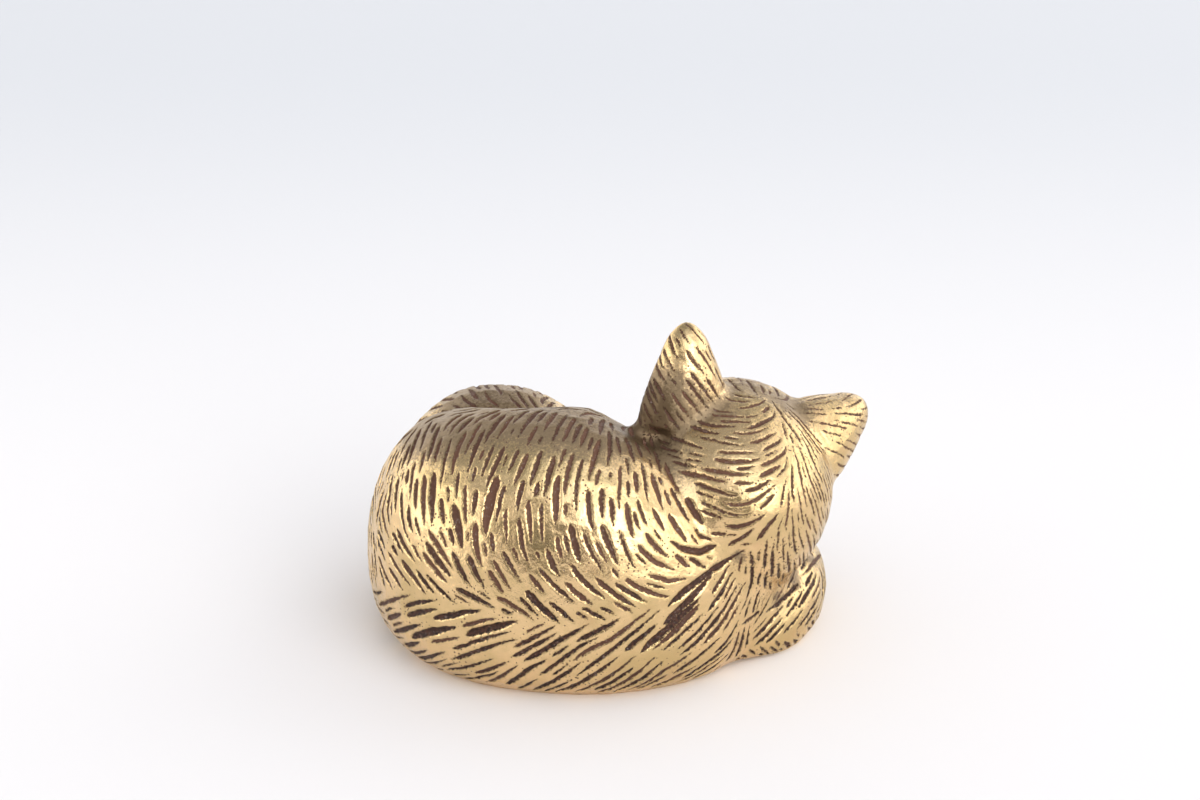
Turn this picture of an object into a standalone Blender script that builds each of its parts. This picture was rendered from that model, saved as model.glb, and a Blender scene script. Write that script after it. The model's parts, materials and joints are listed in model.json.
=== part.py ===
# A small cast brass figurine of a cat asleep, curled up on its right side with its head raised on its forelegs.
# +X runs from the rump to the head, +Y from the back to the paws, +Z up. The origin is at the middle of the base.

import math

import bmesh
import bpy
from mathutils import Matrix, Vector

# Driving sizes, in metres.
SEAM = 0.0003  # gap between a piece and the seat cut for it

BODY_LENGTH = 0.0472  # rump to shoulder, over the plan oval that the back follows
BODY_DEPTH = 0.0370  # back to belly, over the same oval
FLANK_WIDTH = 0.0112  # from the middle of the trunk out to the back
BELLY_WIDTH = 0.0112  # from the middle of the trunk in to the belly
TRUNK_HEIGHT = 0.0248  # base to the top of the flank
WIDEST_HEIGHT = 0.0085  # base to where the trunk and haunch bulge most

HEAD_LENGTH = 0.0245  # nape to nose
HEAD_WIDTH = 0.0205  # over the cheeks
HEAD_HEIGHT = 0.0184  # jaw to crown
HEAD_DROP = 0.0086  # top of the flank down to the middle of the head

EAR_LENGTH = 0.0102
EAR_WIDTH = 0.0103
EAR_DEPTH = 0.0056  # back to front before it is hollowed
EAR_WALL = 0.0012

TAIL_ROOT_WIDTH = 0.0080
TAIL_TIP_WIDTH = 0.0062
TAIL_HEIGHT = 0.0074

HAUNCH_LENGTH = 0.0260
HAUNCH_WIDTH = 0.0190
HAUNCH_HEIGHT = 0.0230

FOOT_LENGTH = 0.0145
FOOT_WIDTH = 0.0070
FOOT_HEIGHT = 0.0060

FORELEG_LENGTH = 0.0144
FORELEG_WIDTH = 0.0076
FORELEG_HEIGHT = 0.0076

# How the head sits, in degrees.
HEAD_ROLL = 19  # right side down
HEAD_YAW = 12  # nose toward the cat's left
HEAD_PITCH = -14  # nose down

# Worn brass, a little darker where a piece lies low.
BRASS = (0.50, 0.37, 0.17)
BRASS_LOW = (0.43, 0.31, 0.14)
BRASS_ROUGHNESS = 0.34


def clear_scene():
    for obj in list(bpy.data.objects):
        bpy.data.objects.remove(obj)


def brass(name, colour):
    material = bpy.data.materials.new("brass_" + name)
    material.use_nodes = True
    shader = material.node_tree.nodes["Principled BSDF"]
    shader.inputs["Base Color"].default_value = (*colour, 1.0)
    shader.inputs["Metallic"].default_value = 1.0
    shader.inputs["Roughness"].default_value = BRASS_ROUGHNESS
    return material


def turned(axis, degrees):
    return Matrix.Rotation(math.radians(degrees), 4, axis)


def smooth_through(rows, u):
    """The values at u of a smooth curve through rows, each row being (u, value, value, ...)."""
    last = len(rows) - 1
    i = max(k for k in range(last) if rows[k][0] <= u or k == 0)
    start, end = rows[i], rows[i + 1]
    before, after = rows[max(i - 1, 0)], rows[min(i + 2, last)]
    span = end[0] - start[0]
    t = (u - start[0]) / span
    values = []
    for c in range(1, len(start)):
        slope_in = (end[c] - before[c]) / (end[0] - before[0]) * span
        slope_out = (after[c] - start[c]) / (after[0] - start[0]) * span
        value = start[c] * (2 * t**3 - 3 * t**2 + 1) + slope_in * (t**3 - 2 * t**2 + t)
        value += end[c] * (3 * t**2 - 2 * t**3) + slope_out * (t**3 - t**2)
        values.append(value)
    return values


def oval(centre, across, half_sizes, sides, squareness):
    """Points of one oval section. Its right, left, lower and upper halves have their own sizes.

    Squareness is 2 for an ellipse and more for a boxier lower or upper half.
    """
    right, left, down, up = half_sizes
    low, high = squareness
    points = []
    for k in range(sides):
        angle = 2 * math.pi * k / sides
        c, s = math.cos(angle), math.sin(angle)
        power = 2 / (high if s > 0 else low)
        x = math.copysign(abs(c) ** power, c) * (right if c > 0 else left)
        z = math.copysign(abs(s) ** power, s) * (up if s > 0 else down)
        points.append(centre + across * x + Vector((0, 0, z)))
    return points


def lofted(rows, rings, sides, round_start, round_end, squareness=(2.0, 2.0)):
    """A closed body lofted through upright oval sections.

    A row is (u, x, y, z, right, left, down, up): the middle of a section and its four half sizes.
    The stretches round_start and round_end long in u close the body off to a pole.
    """
    mesh = bmesh.new()
    loops = []
    for i in range(rings + 1):
        u = 0.5 - 0.5 * math.cos(math.pi * i / rings)
        x, y, z, *half_sizes = smooth_through(rows, u)
        ahead = smooth_through(rows, min(u + 0.01, 1))
        behind = smooth_through(rows, max(u - 0.01, 0))
        along = Vector((ahead[0] - behind[0], ahead[1] - behind[1], 0)).normalized()
        across = Vector((along.y, -along.x, 0))
        to_pole = min(u / round_start, (1 - u) / round_end, 1)
        closing = math.sqrt(max(0.0, 1 - (1 - to_pole) ** 2))
        if closing < 1e-4:
            loops.append([mesh.verts.new((x, y, z))])
            continue
        half_sizes = [size * closing for size in half_sizes]
        points = oval(Vector((x, y, z)), across, half_sizes, sides, squareness)
        loops.append([mesh.verts.new(p) for p in points])
    for near, far in zip(loops, loops[1:]):
        for k in range(sides):
            m = (k + 1) % sides
            if len(near) == 1:
                mesh.faces.new((near[0], far[m], far[k]))
            elif len(far) == 1:
                mesh.faces.new((near[k], near[m], far[0]))
            else:
                mesh.faces.new((near[k], near[m], far[m], far[k]))
    bmesh.ops.recalc_face_normals(mesh, faces=mesh.faces)
    return mesh


def cut_flat(mesh, level):
    """Cuts the body off flat at a level and closes it, so that it can stand."""
    geometry = mesh.verts[:] + mesh.edges[:] + mesh.faces[:]
    cut = bmesh.ops.bisect_plane(
        mesh, geom=geometry, dist=1e-7, plane_co=(0, 0, level), plane_no=(0, 0, -1), clear_outer=True
    )
    edges = [e for e in cut["geom_cut"] if isinstance(e, bmesh.types.BMEdge)]
    if edges:
        bmesh.ops.edgeloop_fill(mesh, edges=edges)
        bmesh.ops.recalc_face_normals(mesh, faces=mesh.faces)


def make_object(name, mesh, parent, place, colour=None):
    data = bpy.data.meshes.new(name)
    mesh.to_mesh(data)
    mesh.free()
    obj = bpy.data.objects.new(name, data)
    bpy.context.scene.collection.objects.link(obj)
    obj.parent = parent
    obj.location = place.to_translation()
    obj.rotation_euler = place.to_euler()
    if colour is not None:
        data.materials.append(brass(name, colour))
    data.shade_smooth()
    data.set_sharp_from_angle(angle=math.radians(50))
    return obj


def make_cutter(name, mesh, parent, place):
    cutter = make_object(name, mesh, parent, place)
    cutter.hide_render = True
    cutter.display_type = "WIRE"
    return cutter


def seat_cutter(obj):
    """A copy of obj grown by the seam, which cuts its seat in the pieces it rests in."""
    mesh = bmesh.new()
    mesh.from_mesh(obj.data)
    mesh.normal_update()
    grown = [v.co + v.normal * SEAM for v in mesh.verts]
    for v, co in zip(mesh.verts, grown):
        v.co = co
    return make_cutter(obj.name + "_seat", mesh, obj.parent, obj.matrix_basis)


def cut_out(obj, cutters):
    group = bpy.data.collections.new(obj.name + "_cutters")
    for cutter in cutters:
        group.objects.link(cutter)
    modifier = obj.modifiers.new("cut_out", "BOOLEAN")
    modifier.operation = "DIFFERENCE"
    modifier.operand_type = "COLLECTION"
    modifier.collection = group
    modifier.solver = "EXACT"


def build_trunk(root):
    """The trunk follows the back oval from the rump, round the near side, to the shoulder."""
    start, sweep = math.radians(150), math.radians(214)
    # u, then flank width, belly width and top height as shares of their named sizes
    shares = [
        (0.00, 0.88, 0.33, 0.91),
        (0.15, 0.94, 0.35, 0.97),
        (0.35, 1.06, 0.60, 1.04),
        (0.55, 1.04, 1.15, 1.04),
        (0.70, 0.94, 1.16, 0.90),
        (0.80, 0.81, 0.90, 0.80),
        (0.88, 0.71, 0.53, 0.74),
        (1.00, 0.64, 0.33, 0.66),
    ]
    rows = []
    for u, flank, belly, top in shares:
        angle = start + sweep * u
        x = (BODY_LENGTH / 2 - FLANK_WIDTH) * math.cos(angle)
        y = (BODY_DEPTH / 2 - FLANK_WIDTH) * math.sin(angle)
        sizes = (FLANK_WIDTH * flank, BELLY_WIDTH * belly, WIDEST_HEIGHT * 1.2, TRUNK_HEIGHT * top - WIDEST_HEIGHT)
        rows.append((u, x, y, WIDEST_HEIGHT, *sizes))
    mesh = lofted(rows, 36, 40, 0.16, 0.16, squareness=(2.6, 2.2))
    cut_flat(mesh, 0)
    return make_object("trunk", mesh, root, Matrix(), BRASS)


def build_tail(root):
    """The tail leaves the rump, lies round the haunch and paws, and ends below the nape."""
    # u, then x and y as shares of the body's length and depth, and height as a share of the tail's
    path = [
        (0.00, -0.367, -0.060, 0.90),
        (0.10, -0.392, 0.130, 1.00),
        (0.19, -0.322, 0.310, 1.00),
        (0.29, -0.147, 0.440, 1.00),
        (0.40, 0.063, 0.465, 0.98),
        (0.55, 0.263, 0.400, 0.96),
        (0.70, 0.403, 0.240, 0.98),
        (0.80, 0.438, 0.074, 1.00),
        (0.90, 0.392, -0.115, 0.94),
        (1.00, 0.245, -0.280, 0.70),
    ]
    rows = []
    for u, along, across, tall in path:
        half_width = (TAIL_ROOT_WIDTH * (1 - u) + TAIL_TIP_WIDTH * u) / 2
        middle = TAIL_HEIGHT * 0.45 * tall
        sizes = (half_width, half_width, TAIL_HEIGHT * 0.5, TAIL_HEIGHT * tall - middle)
        rows.append((u, BODY_LENGTH * along, BODY_DEPTH * across, middle, *sizes))
    mesh = lofted(rows, 52, 14, 0.06, 0.12, squareness=(2.6, 2.0))
    cut_flat(mesh, 0)
    return make_object("tail", mesh, root, Matrix(), BRASS_LOW)


def build_haunch(root):
    """The upper thigh, which stands up behind the trunk like half an egg."""
    # u, then sideways shift as a share of the length, width and height above the widest level
    shares = [
        (0.00, 0.02, 0.90, 0.96),
        (0.50, 0.00, 1.00, 1.00),
        (1.00, 0.00, 0.80, 0.80),
    ]
    rows = []
    for u, shift, wide, tall in shares:
        half_width = HAUNCH_WIDTH / 2 * wide
        sizes = (half_width, half_width, WIDEST_HEIGHT * 1.2, (HAUNCH_HEIGHT - WIDEST_HEIGHT) * tall)
        rows.append((u, HAUNCH_LENGTH * shift, HAUNCH_LENGTH * (u - 0.5), WIDEST_HEIGHT, *sizes))
    mesh = lofted(rows, 26, 28, 0.44, 0.46, squareness=(2.8, 2.1))
    cut_flat(mesh, 0)
    place = Matrix.Translation((-0.19 * BODY_LENGTH, 0.165 * BODY_DEPTH, 0)) @ turned("Z", -87)
    return make_object("left_haunch", mesh, root, place, BRASS)


def build_limb(name, root, at, heading, length, width, height, lift):
    """A foreleg or foot lying on the base. It narrows behind the paw that ends it."""
    # u, then width and height as shares of the limb's
    shares = [(0.0, 1.0, 1.0), (0.5, 0.86, 0.9), (0.8, 1.0, 0.97), (1.0, 1.0, 0.92)]
    rows = []
    for u, wide, tall in shares:
        sizes = (width / 2 * wide, width / 2 * wide, height / 2, height / 2 * tall)
        rows.append((u, 0, length * u, 0, *sizes))
    mesh = lofted(rows, 16, 16, 0.15, 0.20, squareness=(2.3, 2.3))
    middle = height / 2 * lift
    cut_flat(mesh, -middle)
    place = Matrix.Translation((at[0] * BODY_LENGTH, at[1] * BODY_DEPTH, middle)) @ turned("Z", heading)
    return make_object(name, mesh, root, place, BRASS_LOW)


def build_head(root):
    # u, then half width, jaw, crown and the rise of the middle as shares of half the head's sizes
    shares = [
        (0.00, 0.84, 0.94, 0.84, 0.00),
        (0.18, 0.92, 1.06, 0.94, 0.00),
        (0.36, 0.96, 1.12, 1.07, 0.00),
        (0.54, 1.02, 1.10, 1.20, -0.02),
        (0.67, 0.97, 0.93, 1.06, -0.08),
        (0.78, 0.76, 0.64, 0.72, -0.20),
        (0.86, 0.52, 0.42, 0.42, -0.32),
        (1.00, 0.43, 0.36, 0.34, -0.36),
    ]
    half_width, half_height = HEAD_WIDTH / 2, HEAD_HEIGHT / 2
    rows = []
    for u, wide, jaw, crown, middle in shares:
        sizes = (half_width * wide, half_width * wide, half_height * jaw, half_height * crown)
        rows.append((u, 0, HEAD_LENGTH * (u - 0.46), half_height * middle, *sizes))
    mesh = lofted(rows, 30, 32, 0.42, 0.08, squareness=(2.1, 2.1))
    place = Matrix.Translation((0.290 * BODY_LENGTH, -0.067 * BODY_DEPTH, TRUNK_HEIGHT - HEAD_DROP))
    place = place @ turned("Z", HEAD_YAW) @ turned("X", HEAD_PITCH) @ turned("Y", HEAD_ROLL)
    return make_object("head", mesh, root, place, BRASS)


def ear_loft(hollow):
    """The outside of an ear, lying along +Y with its back up, or the shape that hollows its front."""
    # u, then half width, back and front as shares of the ear's sizes
    shares = [
        (0.00, 1.00, 0.60, 0.36),
        (0.25, 0.88, 0.60, 0.34),
        (0.50, 0.70, 0.54, 0.30),
        (0.75, 0.48, 0.42, 0.24),
        (1.00, 0.30, 0.28, 0.16),
    ]
    rows = []
    for u, wide, back, front in shares:
        half_width = EAR_WIDTH / 2 * wide
        along = EAR_LENGTH * u
        sizes = (half_width, half_width, EAR_DEPTH * front, EAR_DEPTH * back)
        if hollow:
            half_width -= EAR_WALL
            along = (EAR_LENGTH - EAR_WALL) * (1.2 * u - 0.2)
            sizes = (half_width, half_width, EAR_DEPTH, EAR_DEPTH * back - EAR_WALL)
        rows.append((u, 0, along, 0, *sizes))
    return lofted(rows, 16, 22, 0.02, 0.22)


def build_ear(name, head, side, spread, lean, tip_back):
    """One ear on the head, spread out from the middle, and the cutter that hollows it."""
    place = Matrix.Translation((side * HEAD_WIDTH * spread, -HEAD_LENGTH * 0.04, HEAD_HEIGHT * 0.29))
    place = place @ turned("Z", -side * 14) @ turned("Y", side * lean) @ turned("X", 90 + tip_back)
    ear = make_object(name, ear_loft(False), head, place, BRASS)
    return ear, make_cutter(name + "_hollow", ear_loft(True), head, place)


def centre_on_base(root, pieces):
    """Moves the root so that the middle of the whole cat's outline in plan is at the origin."""
    bpy.context.view_layer.update()
    points = [obj.matrix_world @ v.co for obj in pieces for v in obj.data.vertices]
    xs = [p.x for p in points]
    ys = [p.y for p in points]
    root.location = (-(min(xs) + max(xs)) / 2, -(min(ys) + max(ys)) / 2, 0)


def main():
    clear_scene()
    root = bpy.data.objects.new("cat", None)
    bpy.context.scene.collection.objects.link(root)

    head = build_head(root)
    left_ear, left_hollow = build_ear("left_ear", head, -1, 0.336, 18, 4)
    right_ear, right_hollow = build_ear("right_ear", head, 1, 0.250, 43, -38)
    foreleg = (FORELEG_LENGTH, FORELEG_WIDTH, FORELEG_HEIGHT)
    left_foreleg = build_limb("left_foreleg", root, (0.343, 0.0), 43, *foreleg, 1.15)
    right_foreleg = build_limb("right_foreleg", root, (0.424, 0.027), 26, *foreleg, 0.92)
    foot = (FOOT_LENGTH, FOOT_WIDTH, FOOT_HEIGHT)
    hind_foot = build_limb("left_hind_foot", root, (-0.159, 0.300), -92, *foot, 1.0)
    haunch = build_haunch(root)
    tail = build_tail(root)
    trunk = build_trunk(root)

    # Each piece rests in the ones after it, which are cut to seat it.
    order = [head, left_ear, right_ear, left_foreleg, right_foreleg, hind_foot, haunch, tail, trunk]
    seats = [seat_cutter(obj) for obj in order[:-1]]
    hollows = {left_ear: [left_hollow], right_ear: [right_hollow]}
    for i, obj in enumerate(order[1:], 1):
        cut_out(obj, seats[:i] + hollows.get(obj, []))
    centre_on_base(root, order)


main()
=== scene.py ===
import json
import math

import bmesh
import bpy
import numpy as np
from mathutils import Euler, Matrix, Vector
from mathutils.bvhtree import BVHTree

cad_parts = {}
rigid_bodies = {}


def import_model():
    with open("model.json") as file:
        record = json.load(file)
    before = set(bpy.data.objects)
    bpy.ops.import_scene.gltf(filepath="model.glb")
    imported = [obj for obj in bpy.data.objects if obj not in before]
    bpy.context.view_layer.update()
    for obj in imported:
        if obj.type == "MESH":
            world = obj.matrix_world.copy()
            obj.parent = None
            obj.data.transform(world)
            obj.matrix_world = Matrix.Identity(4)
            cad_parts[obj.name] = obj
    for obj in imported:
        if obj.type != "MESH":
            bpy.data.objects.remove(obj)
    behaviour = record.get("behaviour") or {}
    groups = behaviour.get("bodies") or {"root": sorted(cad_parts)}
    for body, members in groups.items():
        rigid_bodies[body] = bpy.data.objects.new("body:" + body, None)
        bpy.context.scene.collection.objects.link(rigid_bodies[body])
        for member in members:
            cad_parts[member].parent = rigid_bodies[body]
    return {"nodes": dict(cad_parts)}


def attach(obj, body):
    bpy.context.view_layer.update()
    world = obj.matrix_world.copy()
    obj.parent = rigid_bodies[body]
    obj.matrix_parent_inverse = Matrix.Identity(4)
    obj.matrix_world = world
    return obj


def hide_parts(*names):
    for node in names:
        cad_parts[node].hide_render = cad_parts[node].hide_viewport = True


for old in list(bpy.data.objects):
    bpy.data.objects.remove(old)
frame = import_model()
nodes = frame["nodes"]
nodeNames = sorted(nodes)
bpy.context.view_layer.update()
print("frame loaded,", len(nodes), "nodes")

# lengths in this script are in millimetres until a mesh is made
mm = 0.001


def addObject(name, data):
    obj = bpy.data.objects.new(name, data)
    bpy.context.scene.collection.objects.link(obj)
    return obj


def appliedMesh(obj):
    # the mesh with its modifiers applied, and the object is taken away
    bpy.context.view_layer.update()
    made = bpy.data.meshes.new_from_object(obj.evaluated_get(bpy.context.evaluated_depsgraph_get()))
    bpy.data.objects.remove(obj)
    return made


cameraSetup = dict(lens=85, sensor=36.0, elevation=24, distance=291.2, sideways=1.799, raised=22.10)
pictureWidth, pictureHeight = 1200, 800


def placeCamera(setup):
    camData = bpy.data.cameras.new("camera")
    camData.lens = setup["lens"]
    camData.sensor_width = setup["sensor"]
    camData.clip_start = 0.01
    cam = addObject("camera", camData)
    tilt = math.radians(setup["elevation"])
    back = Vector((0, -math.cos(tilt), math.sin(tilt)))
    turn = (-back).to_track_quat("-Z", "Y")
    right = turn @ Vector((1, 0, 0))
    up = turn @ Vector((0, 1, 0))
    cam.location = (back * setup["distance"] - right * setup["sideways"] + up * setup["raised"]) * mm
    cam.rotation_mode = "QUATERNION"
    cam.rotation_quaternion = turn
    bpy.context.scene.camera = cam
    return cam, right, up, back


camera, cameraRight, cameraUp, cameraBack = placeCamera(cameraSetup)
# half the width of the picture at a distance of 1
halfView = cameraSetup["sensor"] / 2 / cameraSetup["lens"]


def pictureRay(column, row):
    # direction from the camera through a place in the picture
    x = (column - pictureWidth / 2) / (pictureWidth / 2) * halfView
    y = -(row - pictureHeight / 2) / (pictureWidth / 2) * halfView
    return (cameraRight * x + cameraUp * y - cameraBack).normalized()


def seenAt(tree, column, row):
    # what the camera sees there: place, normal, face, distance
    return tree.ray_cast(camera.location / mm, pictureRay(column, row))


def pictureOf(points):
    # column and row of places given in millimetres
    away = points - np.array(camera.location / mm)
    depth = -(away @ np.array(cameraBack))
    perUnit = pictureWidth / 2 / halfView
    column = pictureWidth / 2 + away @ np.array(cameraRight) / depth * perUnit
    row = pictureHeight / 2 - away @ np.array(cameraUp) / depth * perUnit
    return column, row


def meshArrays(mesh):
    points = np.empty(len(mesh.vertices) * 3)
    mesh.vertices.foreach_get("co", points)
    corners = np.empty(len(mesh.loops), dtype=np.int32)
    mesh.loops.foreach_get("vertex_index", corners)
    edges = np.empty(len(mesh.edges) * 2, dtype=np.int32)
    mesh.edges.foreach_get("vertices", edges)
    return points.reshape(-1, 3) / mm, corners.reshape(-1, 4), edges.reshape(-1, 2)


def pointNormals(points, quads):
    a, b, c, d = (points[quads[:, k]] for k in range(4))
    faceNormal = np.cross(c - a, d - b)
    total = np.zeros_like(points)
    for axis in range(3):
        for k in range(4):
            total[:, axis] += np.bincount(quads[:, k], faceNormal[:, axis], len(points))
    faceLength = np.linalg.norm(faceNormal, axis=1, keepdims=True)
    length = np.linalg.norm(total, axis=1, keepdims=True)
    return total / np.maximum(length, 1e-12), faceNormal / np.maximum(faceLength, 1e-12)


def neighbourMean(values, edges, counts):
    total = np.zeros_like(values)
    for axis in range(values.shape[1]):
        total[:, axis] = np.bincount(edges[:, 0], values[edges[:, 1], axis], len(values))
        total[:, axis] += np.bincount(edges[:, 1], values[edges[:, 0], axis], len(values))
    return total / counts[:, None]


def relax(points, edges, counts, rounds, share):
    # each round moves every point by its share of the way to the mean of its neighbours
    for _ in range(rounds):
        points = points + (neighbourMean(points, edges, counts) - points) * share[:, None]
    return points


# one skin over the solids: they grow until the seams close, are remeshed, evened and shrunk again
skinShape = dict(
    grow=0.24, voxel=0.18, weld=0.002, coreBottom=0.2,
    # rounds that even the borders between the pieces, rounds that even the skin, steps in and out
    borderRounds=6, evenRounds=8, stepIn=0.5, stepOut=-0.52,
    # what one round of melting moves a point
    meltStep=0.6,
)
# metal that fills the middle of the curl, below the chin: centre and half sizes
coreBlobs = (
    ((2.5, 2.0, 3.0), (9.0, 6.5, 5.2)),
    ((-3.0, 5.0, 3.0), (7.0, 5.0, 5.0)),
    ((9.0, 2.0, 4.0), (7.5, 6.0, 4.4)),
    ((5.4, 11.0, 1.9), (3.6, 3.4, 2.0)),
    # the root of the left ear runs down on to the back
    ((2.0, -5.9, 23.3), (1.3, 1.3, 1.2)),
    ((3.3, -5.5, 22.8), (1.3, 1.3, 1.1)),
)
# where two pieces melt into one another: rounds of smoothing, and how far it reaches in edges
melting = (
    (("head", "trunk"), 240, 18),
    (("left_haunch", "trunk"), 150, 12),
    (("left_ear", "head"), 40, 7),
    (("right_ear", "head"), 40, 7),
    (("left_foreleg", "right_foreleg"), 30, 6),
    (("head", "left_foreleg"), 30, 5),
    (("head", "right_foreleg"), 30, 5),
    (("tail", "trunk"), 60, 8),
    (("left_haunch", "tail"), 14, 4),
)
# creases that fade out, as the photograph shows: column, row, radius in mm, rounds of smoothing
softSpots = (
    (745, 648, 3.4, 260), (765, 630, 2.6, 160), (796, 592, 2.8, 160),
    (818, 556, 2.2, 80), (779, 589, 2.6, 260),
)
# and where the camera doesn't reach: x, y, z, radius, rounds
hiddenSpots = (
    (1.7, -6.3, 23.9, 1.4, 50), (3.3, -5.6, 23.2, 1.4, 60), (0.8, 4.0, 15.0, 2.2, 140),
    (4.2, -2.8, 28.2, 1.3, 24), (5.0, -2.3, 30.0, 1.3, 24), (5.6, -2.0, 31.6, 1.2, 16),
)


def joinedCopies(shape):
    # every solid, welded and grown so that the seams between them close
    joined = bmesh.new()
    for name in nodeNames:
        part = bmesh.new()
        part.from_mesh(nodes[name].data)
        bmesh.ops.remove_doubles(part, verts=part.verts, dist=shape["weld"] * mm)
        part.normal_update()
        for vert in part.verts:
            vert.co += vert.normal * shape["grow"] * mm
        mesh = bpy.data.meshes.new("grown")
        part.to_mesh(mesh)
        part.free()
        joined.from_mesh(mesh)
        bpy.data.meshes.remove(mesh)
    for centre, halfSizes in coreBlobs:
        made = bmesh.ops.create_icosphere(joined, subdivisions=4, radius=1.0)
        for vert in made["verts"]:
            vert.co = Vector(c + h * k for c, h, k in zip(centre, halfSizes, vert.co)) * mm
            vert.co.z = max(vert.co.z, shape["coreBottom"] * mm)
    mesh = bpy.data.meshes.new("skin")
    joined.to_mesh(mesh)
    joined.free()
    return mesh


def solidTree():
    # the faces of all the solids in one search tree, and the node of each face
    points, faces, owners = [], [], []
    for index, name in enumerate(nodeNames):
        mesh = nodes[name].data
        start = len(points)
        points += [v.co / mm for v in mesh.vertices]
        for poly in mesh.polygons:
            faces.append([start + v for v in poly.vertices])
            owners.append(index)
    return BVHTree.FromPolygons(points, faces), owners


def ownersOf(points, edges, counts, rounds):
    # the nearest solid for each point, with even borders
    tree, owners = solidTree()
    owner = np.array([owners[tree.find_nearest(Vector(p))[2]] for p in points])
    shares = np.zeros((len(points), len(nodeNames)))
    shares[np.arange(len(points)), owner] = 1
    for _ in range(rounds):
        shares = (shares + neighbourMean(shares, edges, counts)) / 2
    return np.argmax(shares, axis=1)


def nearBorder(owner, pair, edges, counts, reach):
    # 1 where two pieces meet, falling to 0 about reach edges away
    ids = [nodeNames.index(name) for name in pair]
    a, b = owner[edges[:, 0]], owner[edges[:, 1]]
    touching = ((a == ids[0]) & (b == ids[1])) | ((a == ids[1]) & (b == ids[0]))
    mask = np.zeros((len(owner), 1))
    mask[edges[touching].ravel()] = 1
    for _ in range(reach):
        mask = np.maximum(mask, neighbourMean(mask, edges, counts) * 1.02)
    return np.clip(mask[:, 0] * 1.6, 0, 1)


def melt(points, edges, share, rounds):
    # evens out the points in place, by the share given for each
    touched = np.flatnonzero(share > 0.02)
    place = np.full(len(points), -1)
    place[touched] = np.arange(len(touched))
    near = place[edges[(place[edges[:, 0]] >= 0) & (place[edges[:, 1]] >= 0)]]
    nearCounts = np.maximum(np.bincount(near.ravel(), minlength=len(touched)), 1.0)
    part = share[touched] * skinShape["meltStep"]
    points[touched] = relax(points[touched], near, nearCounts, rounds, part)


def makeSkin(shape):
    obj = addObject("skin", joinedCopies(shape))
    remesh = obj.modifiers.new("remesh", "REMESH")
    remesh.mode = "VOXEL"
    remesh.voxel_size = shape["voxel"] * mm
    made = appliedMesh(obj)
    points, quads, edges = meshArrays(made)
    counts = np.bincount(edges.ravel(), minlength=len(points)).astype(float)
    owner = ownersOf(points, edges, counts, shape["borderRounds"])
    # a step in and a step out each round, so that it evens without shrinking
    for _ in range(shape["evenRounds"]):
        for step in (shape["stepIn"], shape["stepOut"]):
            points = relax(points, edges, counts, 1, np.full(len(points), step))
    normals, _ = pointNormals(points, quads)
    points -= normals * shape["grow"]
    for pair, rounds, reach in melting:
        melt(points, edges, nearBorder(owner, pair, edges, counts, reach), rounds)
    tree, _ = solidTree()
    spots = [(seenAt(tree, *s[:2])[0], *s[2:]) for s in softSpots]
    for spot, radius, rounds in spots + [(s[:3], *s[3:]) for s in hiddenSpots]:
        gap = ((points - np.array(spot)) ** 2).sum(axis=1)
        melt(points, edges, np.exp(-gap / radius**2), rounds)
    # the base is one flat face: the lowest 0.05 goes down to 0 and the next 0.07 closes up to it
    under = points[:, 2] < 0.12
    points[under, 2] = np.where(points[under, 2] < 0.05, 0, (points[under, 2] - 0.05) * 0.12 / 0.07)
    return made, points, quads, edges, counts, owner


skinMesh, skinPoints, skinQuads, skinEdges, skinCounts, skinOwner = makeSkin(skinShape)
print("skin:", len(skinPoints), "points,", len(skinQuads), "faces")


# where the head of the solids is, and how it is turned
headPlace = dict(at=(11.236, -3.499, 16.2), turn=(-0.258, 0.321, 0.126))
headTurn = np.array(Euler(headPlace["turn"]).to_matrix())
headAt = np.array(headPlace["at"])

# the sleeping face in mm, seen from the front of the head
faceShape = dict(
    lidCentre=(4.9, 1.5), lidSize=(2.7, 2.0), lidRise=0.42,
    eyeHalf=2.35, eyeSag=1.05, eyeWidth=0.26, eyeDepth=0.42,
    padCentre=(1.75, -4.6), padSize=(1.7, 1.35), padRise=0.55,
    noseCentre=(0.0, -2.35), noseSize=(1.25, 0.85), noseRise=0.6,
    mouthWidth=0.2, mouthDepth=0.38, nostrilWidth=0.16, nostrilDepth=0.3,
    # how far forward of the middle of the head each of them starts
    lidFrom=2.5, padFrom=8.5, noseFrom=9.5, eyeFrom=3.0, mouthFrom=6.0, nostrilFrom=9.0,
)


def intoHead(points):
    return (points - headAt) @ headTurn


def polylineDistance(flat, line):
    # distance of flat places to the nearest point of a line
    best = np.full(len(flat), 1e9)
    for a, b in zip(line[:-1], line[1:]):
        a, b = np.array(a), np.array(b)
        along = b - a
        t = np.clip(((flat - a) @ along) / max(along @ along, 1e-9), 0, 1)
        best = np.minimum(best, np.linalg.norm(flat - a - t[:, None] * along, axis=1))
    return best


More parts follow.
